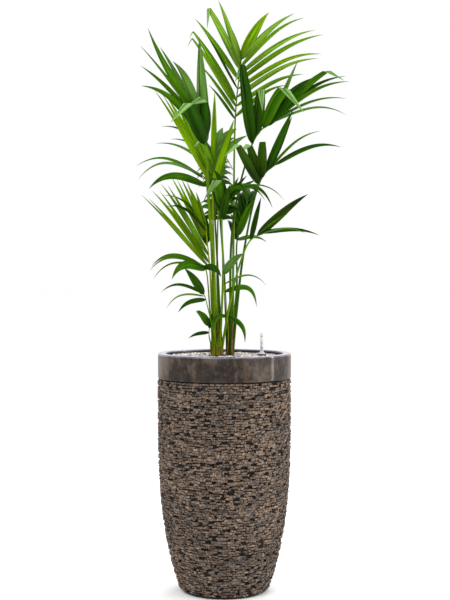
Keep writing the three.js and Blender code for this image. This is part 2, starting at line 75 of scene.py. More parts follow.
# ---- Sizes
(_, _, RIM_BOTTOM), (RIM_RADIUS, _, RIM_TOP) = corners("planter_rim")
WALL = 24
RIM_INSIDE = RIM_RADIUS - WALL
FOOT_RADIUS = 120
FOOT_HEIGHT = 4
TUB_FOOT_RADIUS = 131
TUB_TOP_RADIUS = RIM_RADIUS - 1
TUB_UPRIGHT_FROM = 570
TUB_CURVE = 3.1
GRAVEL_TOP = corners("gravel_topping")[1][2]
GROUND = corners("stem_left")[0][2]

STEMS = {
    "left": {"at": [-22, 8], "radius": 11.9, "flare": 17, "height": 150, "lean": [-6, -4], "tip": 4,
             "sheaths": ((308, 0, 0.4, 0.16, 0), (196, 0, 0.26, 0.14, 0), (262, 0.2, 0.4, 0.07, 0),
                         (282, 0, 0.2, 0.1, 0)),
             "living": ((238, 0, 0.42, 0.34), (278, 0, 0.5, 0.3), (320, 0, 0.3, 0.24))},
    "right": {"at": [16, 30], "radius": 7.4, "flare": 12, "height": 165, "lean": [3, 3], "tip": 2.5,
              "sheaths": ((300, 0, 0.3, 0.2, 0), (288, 0.02, 0.8, 0.13, 9), (236, 0, 0.22, 0.16, 0)),
              "living": ()},
}
FLARE_HEIGHT = 14
STALKS_OUT = 8.6  # how far the stoutest stalks stand out of their stem
SCRAPS = 26  # dry strips on a stem

# ---- Colours, as the eye sees them
# Partly the leaves' own tones, partly painted light and shade: the bright ones stand for light through the
# leaves, the deep and olive ones for shade in the crown.
LEAF_TONES = {  # face, light that shines through, its share
    "bright": ((112, 154, 8), (156, 190, 10), 0.4),
    "fresh": ((98, 146, 22), (138, 180, 22), 0.34),
    "pale": ((118, 160, 50), (150, 188, 46), 0.34),
    "green": ((52, 97, 2), (90, 138, 4), 0.26),
    "deep": ((28, 64, 0), (58, 96, 1), 0.14),
    "olive": ((31, 57, 1), (62, 94, 4), 0.14),
    "grey": ((82, 120, 50), (110, 146, 60), 0.2),
    "light": ((126, 166, 90), (148, 186, 102), 0.3),
}
STALK_TONES = {"green": (84, 118, 0), "yellow": (122, 138, 0), "dark": (48, 82, 0)}
SHEATH_BROWN = (112, 82, 54)
CANE_TONES = ((0.3, (52, 34, 14)), (0.42, (94, 66, 26)), (0.5, (84, 104, 4)), (0.75, (140, 148, 14)))
STONE_TONES = {
    "tan": (104, 86, 70), "brown": (90, 73, 59), "umber": (77, 63, 51),
    "grey": (94, 82, 74), "slate": (72, 61, 54), "dark": (44, 35, 30),
}
STONE_GLINT = (172, 160, 150)  # painted highlights: pale glints on the stones' faces
MORTAR_TONES = ((0.3, (14, 11, 10)), (0.75, (40, 33, 29)))
# three cloud tones of the glaze, then the colour of its painted reflection streaks
BAND_TONES = ((12, 9, 8), (36, 29, 25), (92, 79, 70), (92, 72, 56))
RIM_BROWN_REFLECTION = (108, 84, 62)  # painted reflection, brown, on the band's right
# painted reflection: the same glaze, paler and lavender on the lip that faces up to the white studio
LIP_TONES = ((50, 48, 53), (88, 86, 92), (132, 130, 138), (112, 104, 106))
YELLOW = (200, 150, 20)  # of the gauge's marks
PEBBLE_TONES = {
    "white": (234, 234, 236), "cream": (216, 204, 188), "grey": (172, 170, 170),
    "brown": (140, 118, 98), "dark": (90, 84, 80),
}

# ---- Fronds
FRONDS = {}


def frond(name, stem, around, stalk, skin, bend, neck, tip, *fans):
    """A rib from its foot beside the stem through bend to neck, where its leaflets start, and on to tip."""
    FRONDS[name] = {"stem": stem, "around": around, "stalk": stalk, "skin": skin,
                    "points": (bend, neck, tip), "fans": fans}


def fan(on, count, width, arch, tones, *reaches, folds=(0,), turn=0):
    """A row of leaflets, with the reach of the first, of a middle one if given, and of the last.

    tones and folds are taken in turn. A fold is the share by which a blade is longer than its
    reach, how far aside that part hangs, and on which side of the blade.
    """
    return {"on": on, "count": count, "width": width, "arch": arch, "tones": tones.split(),
            "reaches": [np.array(reach, float) for reach in reaches], "folds": folds, "turn": turn}


# The source's table.
frond(
    "frond_centre_tall", "right", 28, 4.3, "green", (28, 44, 1065), (33, 60, 1414), (53, 95, 1616),
    fan((0.02, 0.26), 4, (10, 19), 0.03, "green fresh fresh fresh", (-79, -40, 100), (-127, -20, 185),
        (-128, -5, 217), folds=(0, 0, (0.14, -0.6, 1), (0.12, -0.5, 1))),
    fan((0.45, 1), 1, 8, 0, "deep", (-95, -10, 162)),
    fan((0.62, 0.8), 2, (18, 21), 0.03, "fresh pale", (-134, 10, 184), (-95, 20, 200),
        folds=(0, (0.34, -0.06, 1))),
    fan((0.87, 0.97), 2, (19, 14), (0.02, 0.08), "pale fresh", (-66, -20, 198), (-56, 35, 145)),
    fan((0.05, 0.85), 7, 15, 0.07, "fresh fresh pale bright fresh pale", (150, -60, 90), (262, -20, 128),
        (192, 10, 155), turn=50),
    fan((0.98, 1), 2, (25, 30), 0.06, "pale bright", (163, 15, 142), (88, 55, 158)))
frond(
    "frond_upper_left", "left", 246, 4.3, "green", (-33, -35, 980), (-57, -70, 1325), (-83, -110, 1438),
    fan((0.1, 0.5), 3, (18, 13), (0.12, 0), "green", (-180, -80, 148), (-176, -75, 182), (-170, -70, 214)),
    fan((0.6, 0.75), 2, (22, 15), (-0.07, 0), "green grey", (-148, -60, 252), (-112, -45, 208)),
    fan((0.9, 1), 1, 29, 0.15, "grey", (-69, -15, 142)),
    fan((0, 0.1), 1, 35, 0, "grey", (-13, -30, 312)),
    fan((0.03, 0.12), 2, 36, 0, "deep", (-44, -85, 104), (0, -75, 104),
        folds=((0.5, -0.9, 1), (0.42, -2.3, 1))))
frond(
    "frond_left_bright", "left", 87, 4.3, "yellow", (-30, 30, 960), (-36, 40, 1196), (-32, 60, 1295),
    fan((0.1, 0.55), 4, (19, 23), 0.01, "bright bright fresh", (-162, -50, 302), (-122, 0, 262),
        (-62, -10, 180), folds=(0, 0, 0, (0.25, -0.9, 1))),
    fan((0.7, 1), 1, 17, 0, "bright", (3, 40, 245)),
    fan((0, 1), 1, 27, 0, "bright", (67, 18, 222)),
    fan((0.75, 1), 1, 19, 0.05, "fresh", (-33, -32, 82), folds=((0.5, -0.8, 1),)))
frond(
    "frond_left_arching", "left", 162, 4.3, "green", (-36, -12, 960), (-52, -40, 1209), (-63, -60, 1231),
    fan((0, 0.3), 1, 28, 0.17, "green", (-168, -68, -10), turn=15),
    fan((0.5, 1), 2, 9, (0.2, 0.18), "grey green", (-196, -30, 0), (-198, -10, 43)),
    fan((0, 1), 1, 24, 0.1, "deep", (30, 70, 24)))
frond(
    "frond_back_left", "left", 14, 4, "dark", (-20, 70, 950), (-36, 120, 1270), (-28, 145, 1330),
    fan((0, 0.7), 3, (9, 13), 0.12, "grey deep", (-180, 58, 90), (-165, 65, 110), (-120, 90, 95)),
    fan((0.1, 1), 3, 31, 0.08, "grey", (110, 60, 98), (72, 80, 96), (22, 90, 84)))
frond(
    "frond_lower_left", "left", 125, 4, "yellow", (-38, 15, 850), (-44, 6, 965), (-56, -18, 1090),
    fan((0, 0.12), 2, (14, 18), 0, "bright", (-192, -52, 228), (-172, -20, 240)),
    fan((0.3, 0.95), 4, (16, 18), 0.01, "fresh bright bright", (-138, -35, 222), (-88, -10, 205),
        (-40, 10, 125)),
    fan((0.9, 1), 2, 9, 0.17, "deep green", (-119, -62, 71), (-130, 20, 96)),
    fan((0.62, 1), 1, 27, 0, "deep", (-12, 50, 84), folds=((0.3, -0.9, 1),)))
frond(
    "frond_right_upper", "right", 283, 4.3, "dark", (24, -10, 1080), (82, -60, 1330), (152, -90, 1405),
    fan((0.02, 0.2), 2, (34, 36), 0.01, "deep", (-31, -70, 214), (14, -60, 130),
        folds=((0.25, -0.3, -1), (0.5, 0.05, 1))),
    fan((0.5, 1), 1, 34, 0.08, "green", (54, -75, 102), folds=((0.62, 0.9, 1),)),
    fan((0.6, 0.75), 2, (33, 26), 0.05, "deep green", (128, -40, 140), (164, -60, 150),
        folds=(0, (0.3, 1.6, 1))),
    fan((0.8, 1), 1, 14, 0, "grey", (78, -20, 178)),
    fan((0.75, 1), 4, (7, 14), 0.1, "grey grey green deep", (212, -80, 26), (216, -50, 88),
        (208, -20, 131)))
frond(
    "frond_right_middle", "right", 335, 4.3, "dark", (57, 0, 1004), (103, -50, 1214), (158, -80, 1277),
    fan((0, 0.15), 3, (28, 29), 0, "olive", (-64, -70, 106), (-32, -50, 102), (1, -60, 98),
        folds=((0.4, -1.5, 1), (0.4, -1.3, 1), (0.4, 0.1, -1))),
    fan((0.35, 0.5), 2, (20, 18), 0, "deep olive", (82, -30, 186), (72, -30, 158)),
    fan((0.6, 0.85), 2, (8, 14), 0.11, "green deep", (146, -20, 112), (196, -30, 60)))
frond(
    "frond_right_low", "left", 339, 4, "green", (23, -48, 892), (65, -75, 1028), (108, -95, 1069),
    fan((0.3, 0.75), 2, (16, 26), 0.01, "deep olive", (28, -40, 128), (148, -70, 128)),
    fan((0.7, 1), 1, 6, 0.04, "green", (88, -60, 60)),
    fan((0.8, 1), 2, (5, 15), 0.08, "grey deep", (130, -60, 8), (172, -40, -8)))
frond(
    "frond_centre_right", "left", 304, 4, "green", (-4, -40, 945), (-7, -62, 1110), (5, -80, 1195),
    fan((0.7, 1), 1, 21, 0.5, "green", (64, -60, -30)),
    fan((0.95, 1), 2, (15, 6), (0.22, 0.18), "green grey", (134, -80, -46), (170, -50, -26)),
    fan((0, 0.6), 4, (22, 17), 0.03, "deep green", (22, -70, 98), (58, -60, 92), (92, -40, 62)),
    fan((0.35, 1), 1, 34, 0, "green", (-17, -50, 74), folds=((0.72, -0.35, 1),)),
    fan((0.2, 0.8), 2, 26, (0.1, 0.2), "deep green", (52, 10, 4), (70, -25, 24)),
    fan((0.2, 0.9), 2, 20, 0.1, "deep", (-34, 20, 64), (-35, -40, 70)))
frond(
    "frond_back_right", "right", 80, 4, "dark", (38, 110, 900), (40, 150, 1053), (74, 180, 1179),
    fan((0, 1), 1, 12, 0.14, "grey", (92, 40, -6)),
    fan((0.1, 1), 3, (25, 18), 0.06, "green olive deep", (56, 30, 124), (34, 90, 44)),
    fan((0, 1), 4, 22, 0.1, "deep green", (-30, 130, 70), (-26, 130, 90), (-6, 110, 60)))
frond(
    "frond_low_left", "left", 214, 3, "green", (-44, -20, 850), (-54, -52, 958), (-78, -80, 980),
    fan((0.05, 1), 1, 27, 0.24, "green", (-98, -60, -30)),
    fan((0.1, 0.8), 3, (7, 12), 0.19, "green grey", (-148, -60, -30), (-156, -50, -13), (-140, -20, -5)),
    fan((0.3, 1), 1, 20, 0.12, "deep", (50, -60, -30)))
frond(
    "frond_low_left_small", "left", 275, 2.5, "green", (-38, -47, 800), (-55, -55, 872), (-62, -65, 890),
    fan((0, 1), 1, 17, 0.12, "deep", (-78, -50, -34)),
    fan((0.3, 1), 2, (6, 11), 0.17, "grey deep", (-110, -40, -28), (-124, -30, 10)),
    fan((0.8, 1), 1, 22, 0.05, "deep", (-55, -30, 77)))
frond(
    "shoot_left", "left", 190, 2.2, "green", (-44, -4, 750), (-46, -14, 770), (-44, -24, 795),
    fan((0.1, 0.9), 2, (10, 21), 0.08, "deep green", (-60, -20, -16), (-34, -30, 46),
        folds=(0, (0.14, -0.9, 1))),
    fan((0.6, 1), 1, 12, 0.1, "deep", (10, -30, 48)))
frond(
    "shoot_right", "right", 235, 2.2, "yellow", (12, 6, 775), (8, -14, 820), (-5, -58, 954),
    fan((0.02, 0.6), 2, (16, 15), (0.32, 0.38), "green", (52, -30, -74), (94, -40, -40)),
    fan((0.02, 1), 1, 16, 0.35, "green", (-42, -40, -42)),
    fan((0.97, 1), 1, 23, 0.08, "grey", (60, -20, 62)),
    fan((0.75, 1), 1, 6, 0.2, "grey", (124, -30, 2)))
frond(
    "frond_back_tall", "right", 130, 4.3, "dark", (-4, 115, 1000), (-24, 185, 1235), (-30, 262, 1300),
    fan((0, 1), 6, 19, 0.14, "green deep", (-58, 70, -10), (-64, 120, 10), (-30, 140, 40)),
    fan((0, 1), 6, 19, 0.14, "deep green", (56, 60, -10), (62, 120, 10), (28, 140, 40)))
frond(
    "frond_back_low", "left", 50, 4, "green", (-22, 85, 930), (-20, 150, 1120), (-14, 235, 1180),
    fan((0, 1), 5, 18, 0.16, "deep green", (-60, 50, -10), (-66, 110, 10), (-26, 130, 25)),
    fan((0, 1), 5, 18, 0.16, "deep green", (58, 50, -10), (64, 110, 10), (26, 130, 25)))
STALK_FOOT = 16  # the bend's curve starts this far above the stem's foot
STALK_OUT = 0.6
NECK_AT = 2 / 3
RIB_NECK = 0.6
RIB_TIP = 0.4
LAST_LEAF = 0.98
LEAF_SPREAD = 0.16
LEAF_STRAY = 0.015
WIDTH_STRAY = 0.1


# ---- Joined meshes
def placed(name, data):
    """An object of the scene."""
    made = bpy.data.objects.new(name, data)
    bpy.context.scene.collection.objects.link(made)
    return made


class Pile:
    """Many small closed forms that become one mesh."""

    def __init__(self):
        self.points, self.faces, self.maps, self.count = [], [], [], 0

    def add(self, points, faces, spots=None):
        """spots gives each point's place on its form as (across, along), for grain and veins."""
        points = np.asarray(points, float).reshape(-1, 3)
        self.faces.extend([tuple(self.count + k for k in face) for face in faces])
        self.points.append(points)
        self.maps.append(np.zeros((len(points), 2)) if spots is None else spots.reshape(-1, 2))
        self.count += len(points)

    def piece(self, name, look, slot, smooth=True):
        data = bpy.data.meshes.new(name)
        data.from_pydata((np.concatenate(self.points) * MM).tolist(), [], self.faces)
        places = np.zeros(len(data.loops), int)
        data.loops.foreach_get("vertex_index", places)
        layer = data.uv_layers.new(name="grain")
        layer.data.foreach_set("uv", np.concatenate(self.maps)[places].ravel())
        data.polygons.foreach_set("use_smooth", [smooth] * len(data.polygons))
        data.materials.append(look.material)
        data.update()
        made = placed(name, data)
        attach(made, "root")
        return made


def tube(rings, spots):
    """A closed tube through rings, each with the same number of points, as Pile.add takes it."""
    rings = np.array(rings)
    index = np.arange(rings[..., 0].size).reshape(rings.shape[:2])
    low, high = index[:-1], index[1:]
    quads = np.stack([low, np.roll(low, -1, 1), np.roll(high, -1, 1), high], -1)
    ends = [index[0][::-1].tolist(), index[-1].tolist()]
    return rings, quads.reshape(-1, 4).tolist() + ends, np.array(spots)


def turned(profile, facets, uneven=lambda turn: (0, 0)):
    """A body turned about the planter's axis from a closed profile of (radius, height)."""
    rings = []
    for turn in np.linspace(0, 2 * pi, facets, endpoint=False):
        dr, dz = uneven(turn)
        rings.append([((r + dr) * cos(turn), (r + dr) * sin(turn), z + dz) for r, z in profile])
    index = np.arange(facets * len(profile)).reshape(facets, -1)
    after = np.roll(index, -1, 0)
    quads = np.stack([index, after, np.roll(after, -1, 1), np.roll(index, -1, 1)], -1)
    return np.array(rings), quads.reshape(-1, 4).tolist()


def arc(centre, radius, start, end, steps):
    """Points of an arc in (radius, height), angles in degrees."""
    x, z = centre
    return [(x + radius * cos(a), z + radius * sin(a)) for a in np.radians(np.linspace(start, end, steps))]


def unit(v):
    return v / np.linalg.norm(v)


# ---- Materials
def linear(colour):
    """A colour from 0 to 255 as the eye sees it, as Blender's linear colour."""
    shares = [c / 255 for c in colour]
    return tuple(s / 12.92 if s <= 0.04045 else ((s + 0.055) / 1.055) ** 2.4 for s in shares) + (1,)


def scaled(colour, factor):
    return tuple(min(255, c * factor) for c in colour)


class Surface:
    """A material: a Principled shader and the nodes that drive it."""

    def __init__(self, name, **values):
        self.material = bpy.data.materials.new(name)
        self.material.use_nodes = True
        self.tree = self.material.node_tree
        self.shader = self.tree.nodes["Principled BSDF"]
        self.fill(self.shader, values)

    def put(self, socket, value):
        """Gives a socket a value, or a link from another socket."""
        if isinstance(value, bpy.types.NodeSocket):
            self.tree.links.new(value, socket)
        else:
            socket.default_value = value

    def fill(self, node, values):
        for key, value in values.items():
            socket = node.inputs.get(key.replace("_", " "))
            if socket is None:
                setattr(node, key, value)
            else:
                self.put(socket, value)
        return node

    def node(self, kind, **values):
        return self.fill(self.tree.nodes.new(kind), values)

    def place(self, stretch=(1, 1, 1), grain=False):
        """Where a point lies: on the object in metres, or on its own small form."""
        start = self.node("ShaderNodeTexCoord").outputs["UV" if grain else "Object"]
        return self.node("ShaderNodeMapping", Vector=start, Scale=stretch).outputs["Vector"]

    def noise(self, place, scale, detail, rough=0.6):
        made = self.node("ShaderNodeTexNoise", Vector=place, Scale=scale, Detail=detail, Roughness=rough)
        return made.outputs["Fac"]

    def streaks(self, across, along, scale, detail):
        """Noise that follows each small form."""
        return self.noise(self.place((across, along, 1), grain=True), scale, detail)

    def axis(self, place, name):
        return self.node("ShaderNodeSeparateXYZ", Vector=place).outputs[name]

    def ramp(self, value, stops):
        made = self.node("ShaderNodeValToRGB", Fac=value)
        elements = made.color_ramp.elements
        while len(elements) < len(stops):
            elements.new(0.5)
        for element, (at, colour) in zip(elements, stops):
            element.position, element.color = at, colour
        return made.outputs["Color"]

    def colour(self, made):
        self.base = made
        self.fill(self.shader, {"Base_Color": made})

    def colours(self, value, *stops):
        """Sets the colour through (place, colour) stops, with colours as the eye sees them."""
        self.colour(self.ramp(value, [(at, linear(colour)) for at, colour in stops]))

    def shades(self, value, colour, *stops):
        """Sets shades of one colour by (place, factor) stops."""
        self.colours(value, *[(at, scaled(colour, factor)) for at, factor in stops])

    def tinge(self, colour, value, start, end, high, low=0):
        """Blends a colour in, by a share that goes from low to high with the value."""
        share = self.ramp(value, [(start, (low, low, low, 1)), (end, (high, high, high, 1))])
        made = self.node("ShaderNodeMix", data_type="RGBA")
        for k, part in ((0, share), (6, self.base), (7, linear(colour))):
            self.put(made.inputs[k], part)
        self.colour(made.outputs[2])

    def bump(self, height, strength, distance):
        made = self.node("ShaderNodeBump", Height=height, Strength=strength, Distance=distance)
        self.fill(self.shader, {"Normal": made.outputs["Normal"]})

    def rough(self, value, low, high):
        made = self.node("ShaderNodeMapRange", Value=value, To_Min=low, To_Max=high)
        self.fill(self.shader, {"Roughness": made.outputs["Result"]})

    def mix_in(self, kind, share, **values):
        """Blends the shader with one of another kind."""
        both = self.node("ShaderNodeMixShader", Fac=share)
        self.put(both.inputs[1], self.shader.outputs[0])
        self.put(both.inputs[2], self.node(kind, **values).outputs[0])
        self.put(self.tree.nodes["Material Output"].inputs["Surface"], both.outputs[0])


def leaf_look(name, face, through, share):
    """A living leaflet: fine veins, a satin skin, light that shines through, and painted light and shade:
    light and dark bands along its pleating, patches of a painted glow and a darker root.
    """
    look = Surface(name, Roughness=0.42, Specular_IOR_Level=0.04)
    veins = look.streaks(60, 1.5, 1.0, 2)
    apart = look.node("ShaderNodeVectorMath", operation="ADD")  # no two blades alike
    look.put(apart.inputs[0], look.place((5, 0.7, 1), grain=True))
    look.put(apart.inputs[1], look.place((4, 4, 4)))
    pleat_light_shade = look.noise(apart.outputs["Vector"], 1.0, 2)
    patches = look.noise(look.place(), 9.0, 2)
    # painted light and shade: darker and lighter bands along the pleating
    look.shades(pleat_light_shade, face, (0.39, 0.5), (0.5, 1), (0.62, 1.28))
    # painted light: patches of the light-through colour, a painted glow of light shining through
    look.tinge(through, patches, 0.4, 0.75, 0.45)
    # painted shade: the blade darker towards its root
    look.tinge(scaled(face, 0.6), look.axis(look.place(grain=True), "Y"), 0, 0.45, 0, 0.6)
    look.bump(veins, 0.35, 0.0006)
    look.mix_in("ShaderNodeBsdfTranslucent", share, Color=linear(through))
    return look


def stalk_look(name, colour):
    """A smooth green stalk with fine lengthwise fibres and painted shade in broad darker streaks along it.
    """
    look = Surface(name, Roughness=0.42, Specular_IOR_Level=0.06)
    fibres = look.streaks(14, 2, 3.0, 3)
    sides = look.streaks(2.2, 0.35, 1.6, 2)
    look.shades(fibres, colour, (0.3, 0.7), (0.5, 1), (0.75, 1.4))
    # painted shade: broad darker streaks along the stalk, for its shaded side
    look.tinge(scaled(colour, 0.5), sides, 0.48, 0.6, 0.7)
    look.bump(fibres, 0.3, 0.0008)
    return look


def sheath_look():
    """The dry brown fibre of old leaf sheaths."""
    look = Surface("sheath_brown", Roughness=0.85, Specular_IOR_Level=0.05)
    fibres = look.streaks(9, 2.6, 2.2, 5)
    look.shades(fibres, SHEATH_BROWN, (0.36, 0.4), (0.5, 1), (0.64, 1.45))
    look.bump(fibres, 0.8, 0.0015)
    return look


def cane_look():
    """The stem under its sheaths: green with yellow and brown streaks."""
    look = Surface("cane", Roughness=0.5, Specular_IOR_Level=0.06)
    streaks = look.streaks(22, 1.1, 2.0, 4)
    look.colours(streaks, *CANE_TONES)
    look.bump(streaks, 0.7, 0.0015)
    return look


def stone_look(name, colour):
    """Split stone: a rough cleft face with painted highlights, pale glints spread by a fine noise."""
    look = Surface("stone_" + name, Roughness=0.82)
    broad = look.noise(look.place(), 170.0, 5, rough=0.7)
    fine = look.noise(look.place(), 420.0, 3)
    look.shades(broad, colour, (0.36, 0.3), (0.5, 1), (0.64, 1.6))
    # painted highlights: pale glints where the fine noise is high
    look.tinge(STONE_GLINT, fine, 0.54, 0.7, 0.7)
    look.bump(fine, 0.8, 0.002)
    look.rough(broad, 0.7, 0.95)
    return look


def grainy_look(name, roughness, scale, detail, stops, bump=None, rough=None):
    """A surface whose colour follows one noise, through (place, colour) stops."""
    look = Surface(name, Roughness=roughness)
    grain = look.noise(look.place(), scale, detail)
    look.colours(grain, *stops)
    if bump:
        look.bump(grain, *bump)
    if rough:
        look.rough(grain, *rough)
    return look


def pebble_look(name, colour):
    stops = [(0.3, scaled(colour, 0.74)), (0.55, colour), (0.8, scaled(colour, 1.12))]
    return grainy_look("pebble_" + name, 0.7, 240, 4, stops, bump=(0.3, 0.001))


def grit_look(name, dark, pale, scale):
    return grainy_look(name, 0.95, scale, 6, [(0.3, dark), (0.75, pale)], bump=(0.8, 0.003))


def plastic_look(name, colour, roughness=0.4):
    stops = [(0.3, scaled(colour, 0.9)), (0.7, colour)]
    return grainy_look(name, roughness, 160, 3, stops, rough=(roughness, roughness + 0.15))


def glaze_look(name, coat, shine, tint, tones):
    """The rim's glaze: cloudy dark grey, softly glossy, with painted reflections in soft upright streaks,
    and browner on one side as a painted reflection.
    """
    look = Surface(name, Roughness=0.34, Coat_Weight=coat, Coat_Roughness=0.08,
                   Specular_IOR_Level=shine, Coat_Tint=linear(tint))
    clouds = look.noise(look.place((1, 1, 0.8)), 10.0, 7, rough=0.7)
    streaks = look.noise(look.place((1, 1, 0.12)), 26.0, 2)
    mottle = look.noise(look.place(), 60.0, 4)
    look.colours(clouds, *zip((0.36, 0.5, 0.64), tones))
    # painted reflections: soft upright streaks of the last tone
    look.tinge(tones[3], streaks, 0.5, 0.78, 0.5)
    look.tinge(scaled(tones[2], 0.88), mottle, 0.45, 0.8, 0.4)
    # painted reflection: browner towards the +X side
    look.tinge(RIM_BROWN_REFLECTION, look.axis(look.place((2.2, 1, 1)), "X"), 0.41, 0.435, 0.32)
    look.rough(mottle, 0.26, 0.46)
    look.bump(mottle, 0.12, 0.002)
    return look


def clear_look():
    """The gauge's clear tube, slightly clouded."""
    look = Surface("gauge_clear", Roughness=0.15)
    cloud = look.noise(look.place(), 90.0, 2)
    look.colours(cloud, (0.3, (226, 228, 230)), (0.7, (240, 242, 244)))
    look.mix_in("ShaderNodeBsdfTransparent", 0.78)
    return look


# ---- Planter
def tub_radius(z):
    low = max(0.0, 1 - z / TUB_UPRIGHT_FROM)
    return TUB_TOP_RADIUS - (TUB_TOP_RADIUS - TUB_FOOT_RADIUS) * low ** TUB_CURVE


COURSE = 7.2  # height of a row of chips
CHIP_LONG = (6, 24)
CHIP_TALL = (0.62, 1.15)  # of its row
CHIP_SEAM = 0.8
CHIP_PROUD = (-5.0, 1.6)  # how far a chip's face stands out of the tub's line
CHIP_MISSING = 0.12
CHIP_OUT = 1.8  # no part of a chip stands further out
CHIP_ROOT = 10  # the wall behind the chips lies this far inside
CLEFT = 3.4  # size of the facets of a chip's broken face
CLEFT_DEEP = 1.3
CHIP_ROWS = 3
ROW_WAVE = 5.0  # how far a row of chips wanders up and down


def chip_tone(turn, z, draw):
    """Chips of one colour lie together in loose patches."""
    here = Vector((cos(turn) * 1.6, sin(turn) * 1.6, z / 150))
    patch, roll = noise.noise(here), draw.random()
    for most, tone in ((0.1, "dark"), (0.2, "slate"), (0.32, "grey")):
        if roll < most:
            return tone
    if patch > 0.05:
        return "tan" if roll < 0.68 else "brown"
    if patch < -0.12:
        return "umber" if roll < 0.7 else "brown"
    return ("tan", "brown", "umber")[int(roll * 97) % 3]


def chip(turn, z, length, height, proud, draw):
    """A split stone chip: a ragged outline and a face broken into small facets."""
    columns = max(3, round(length / CLEFT))
    slope, tip, tilt = draw.uniform(-0.12, 0.12), draw.uniform(-0.1, 0.5), draw.uniform(-0.08, 0.08)
    seed = Vector((draw.uniform(0, 90), draw.uniform(0, 90), 0))
    narrow = [draw.uniform(0.0, 0.35) for _ in range(2)]
    points = []
    for row in range(CHIP_ROWS + 1):
        v = 2 * row / CHIP_ROWS - 1
        for column in range(columns + 1):
            u = 2 * column / columns - 1
            x = u * length / 2 + draw.uniform(-0.9, 0.9)
            y = v * height / 2 * (1 - narrow[u > 0] * u * u) + draw.uniform(-0.8, 0.8)
            rough = noise.noise(seed + Vector((x / 5, y / 3.4, 0))) * 1.6 + draw.uniform(-0.5, 0.5)
            depth = proud + slope * x + tip * y + CLEFT_DEEP * rough - 0.8 * (max(abs(u), abs(v)) > 0.99)
            points.append((x, y + tilt * x, min(depth, CHIP_OUT)))
    index = np.arange((CHIP_ROWS + 1) * (columns + 1)).reshape(CHIP_ROWS + 1, columns + 1)
    faces = [(index[r, c], index[r, c + 1], index[r + 1, c + 1], index[r + 1, c])
             for r in range(CHIP_ROWS) for c in range(columns)]
    rim = list(index[0]) + list(index[1:, -1]) + list(index[-1, -2::-1]) + list(index[-2:0:-1, 0])
    count = len(points)
    points += [(*points[k][:2], -CHIP_ROOT - 2) for k in rim]
    for k in range(len(rim)):
        after = (k + 1) % len(rim)
        faces.append((rim[k], count + k, count + after, rim[after]))
    faces.append(tuple(count + k for k in reversed(range(len(rim)))))
    x, y, depth = np.array(points).T
    radius = np.array([tub_radius(z + h) for h in y]) + depth
    angle = turn + x / tub_radius(z)
    return np.stack([radius * np.cos(angle), radius * np.sin(angle), z + y], 1), faces


def lay_chips():
    draw = random.Random(41)
    piles = {name: Pile() for name in STONE_TONES}
    low, high = FOOT_HEIGHT + 3, RIM_BOTTOM - 2.5
    courses = round((high - low) / COURSE)
    step = (high - low) / courses
    for row in range(courses):
        level = low + (row + 0.5) * step
        girth = 2 * pi * tub_radius(level)
        stretch = 0
        lengths = []
        while stretch < girth:
            lengths.append(draw.uniform(*CHIP_LONG))
            stretch += lengths[-1]
        fit = girth / stretch
        start = draw.uniform(0, 2 * pi)
        missing = False
        for length in lengths:
            span = length * fit
            turn = start + span / 2 / tub_radius(level)
            start += span / tub_radius(level)
            height = min(step * draw.uniform(*CHIP_TALL), 2 * (high - level), 2 * (level - low))
            free = min(1.0, (level - low) / 30, (high - level) / 30)
            here = Vector((cos(turn) * 3.2, sin(turn) * 3.2, level / 55))
            z = level + free * (ROW_WAVE * noise.noise(here) + draw.uniform(-1.6, 1.6))
            proud = CHIP_PROUD[1] - (CHIP_PROUD[1] - CHIP_PROUD[0]) * draw.random() ** 1.5
            missing = not missing and draw.random() < CHIP_MISSING
            made = chip(turn, z, span - CHIP_SEAM, height, proud, draw)
            tone = chip_tone(turn, z, draw)
            if not missing:
                piles[tone].add(*made)
    return piles


def make_planter():
    top = RIM_BOTTOM - 0.3
    outer = [(tub_radius(z) - CHIP_ROOT, z) for z in np.linspace(FOOT_HEIGHT + 2, top, 60)]
    sole = [(TUB_FOOT_RADIUS - 3, FOOT_HEIGHT), (TUB_FOOT_RADIUS - 1, FOOT_HEIGHT + 1.5),
            (TUB_FOOT_RADIUS - 3, FOOT_HEIGHT + 4.5)]
    inner = [(TUB_TOP_RADIUS - WALL, top), (TUB_TOP_RADIUS - WALL, top - 12)]
    wall = Pile()
    wall.add(*turned([(0.5, 0), (FOOT_RADIUS, 0), (FOOT_RADIUS, FOOT_HEIGHT)] + sole + outer
                     + inner + [(0.5, top - 12)], 96))
    mortar = grainy_look("mortar", 0.95, 260, 4, MORTAR_TONES, bump=(0.8, 0.002))
    body = wall.piece("planter_wall", mortar, "stone_cladding")
    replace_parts(body, "planter_body")
    for name, pile in lay_chips().items():
        stones = pile.piece("stone_chips_" + name, stone_look(name, STONE_TONES[name]),
                            "stone_cladding", smooth=False)
        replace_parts(stones, "planter_body")


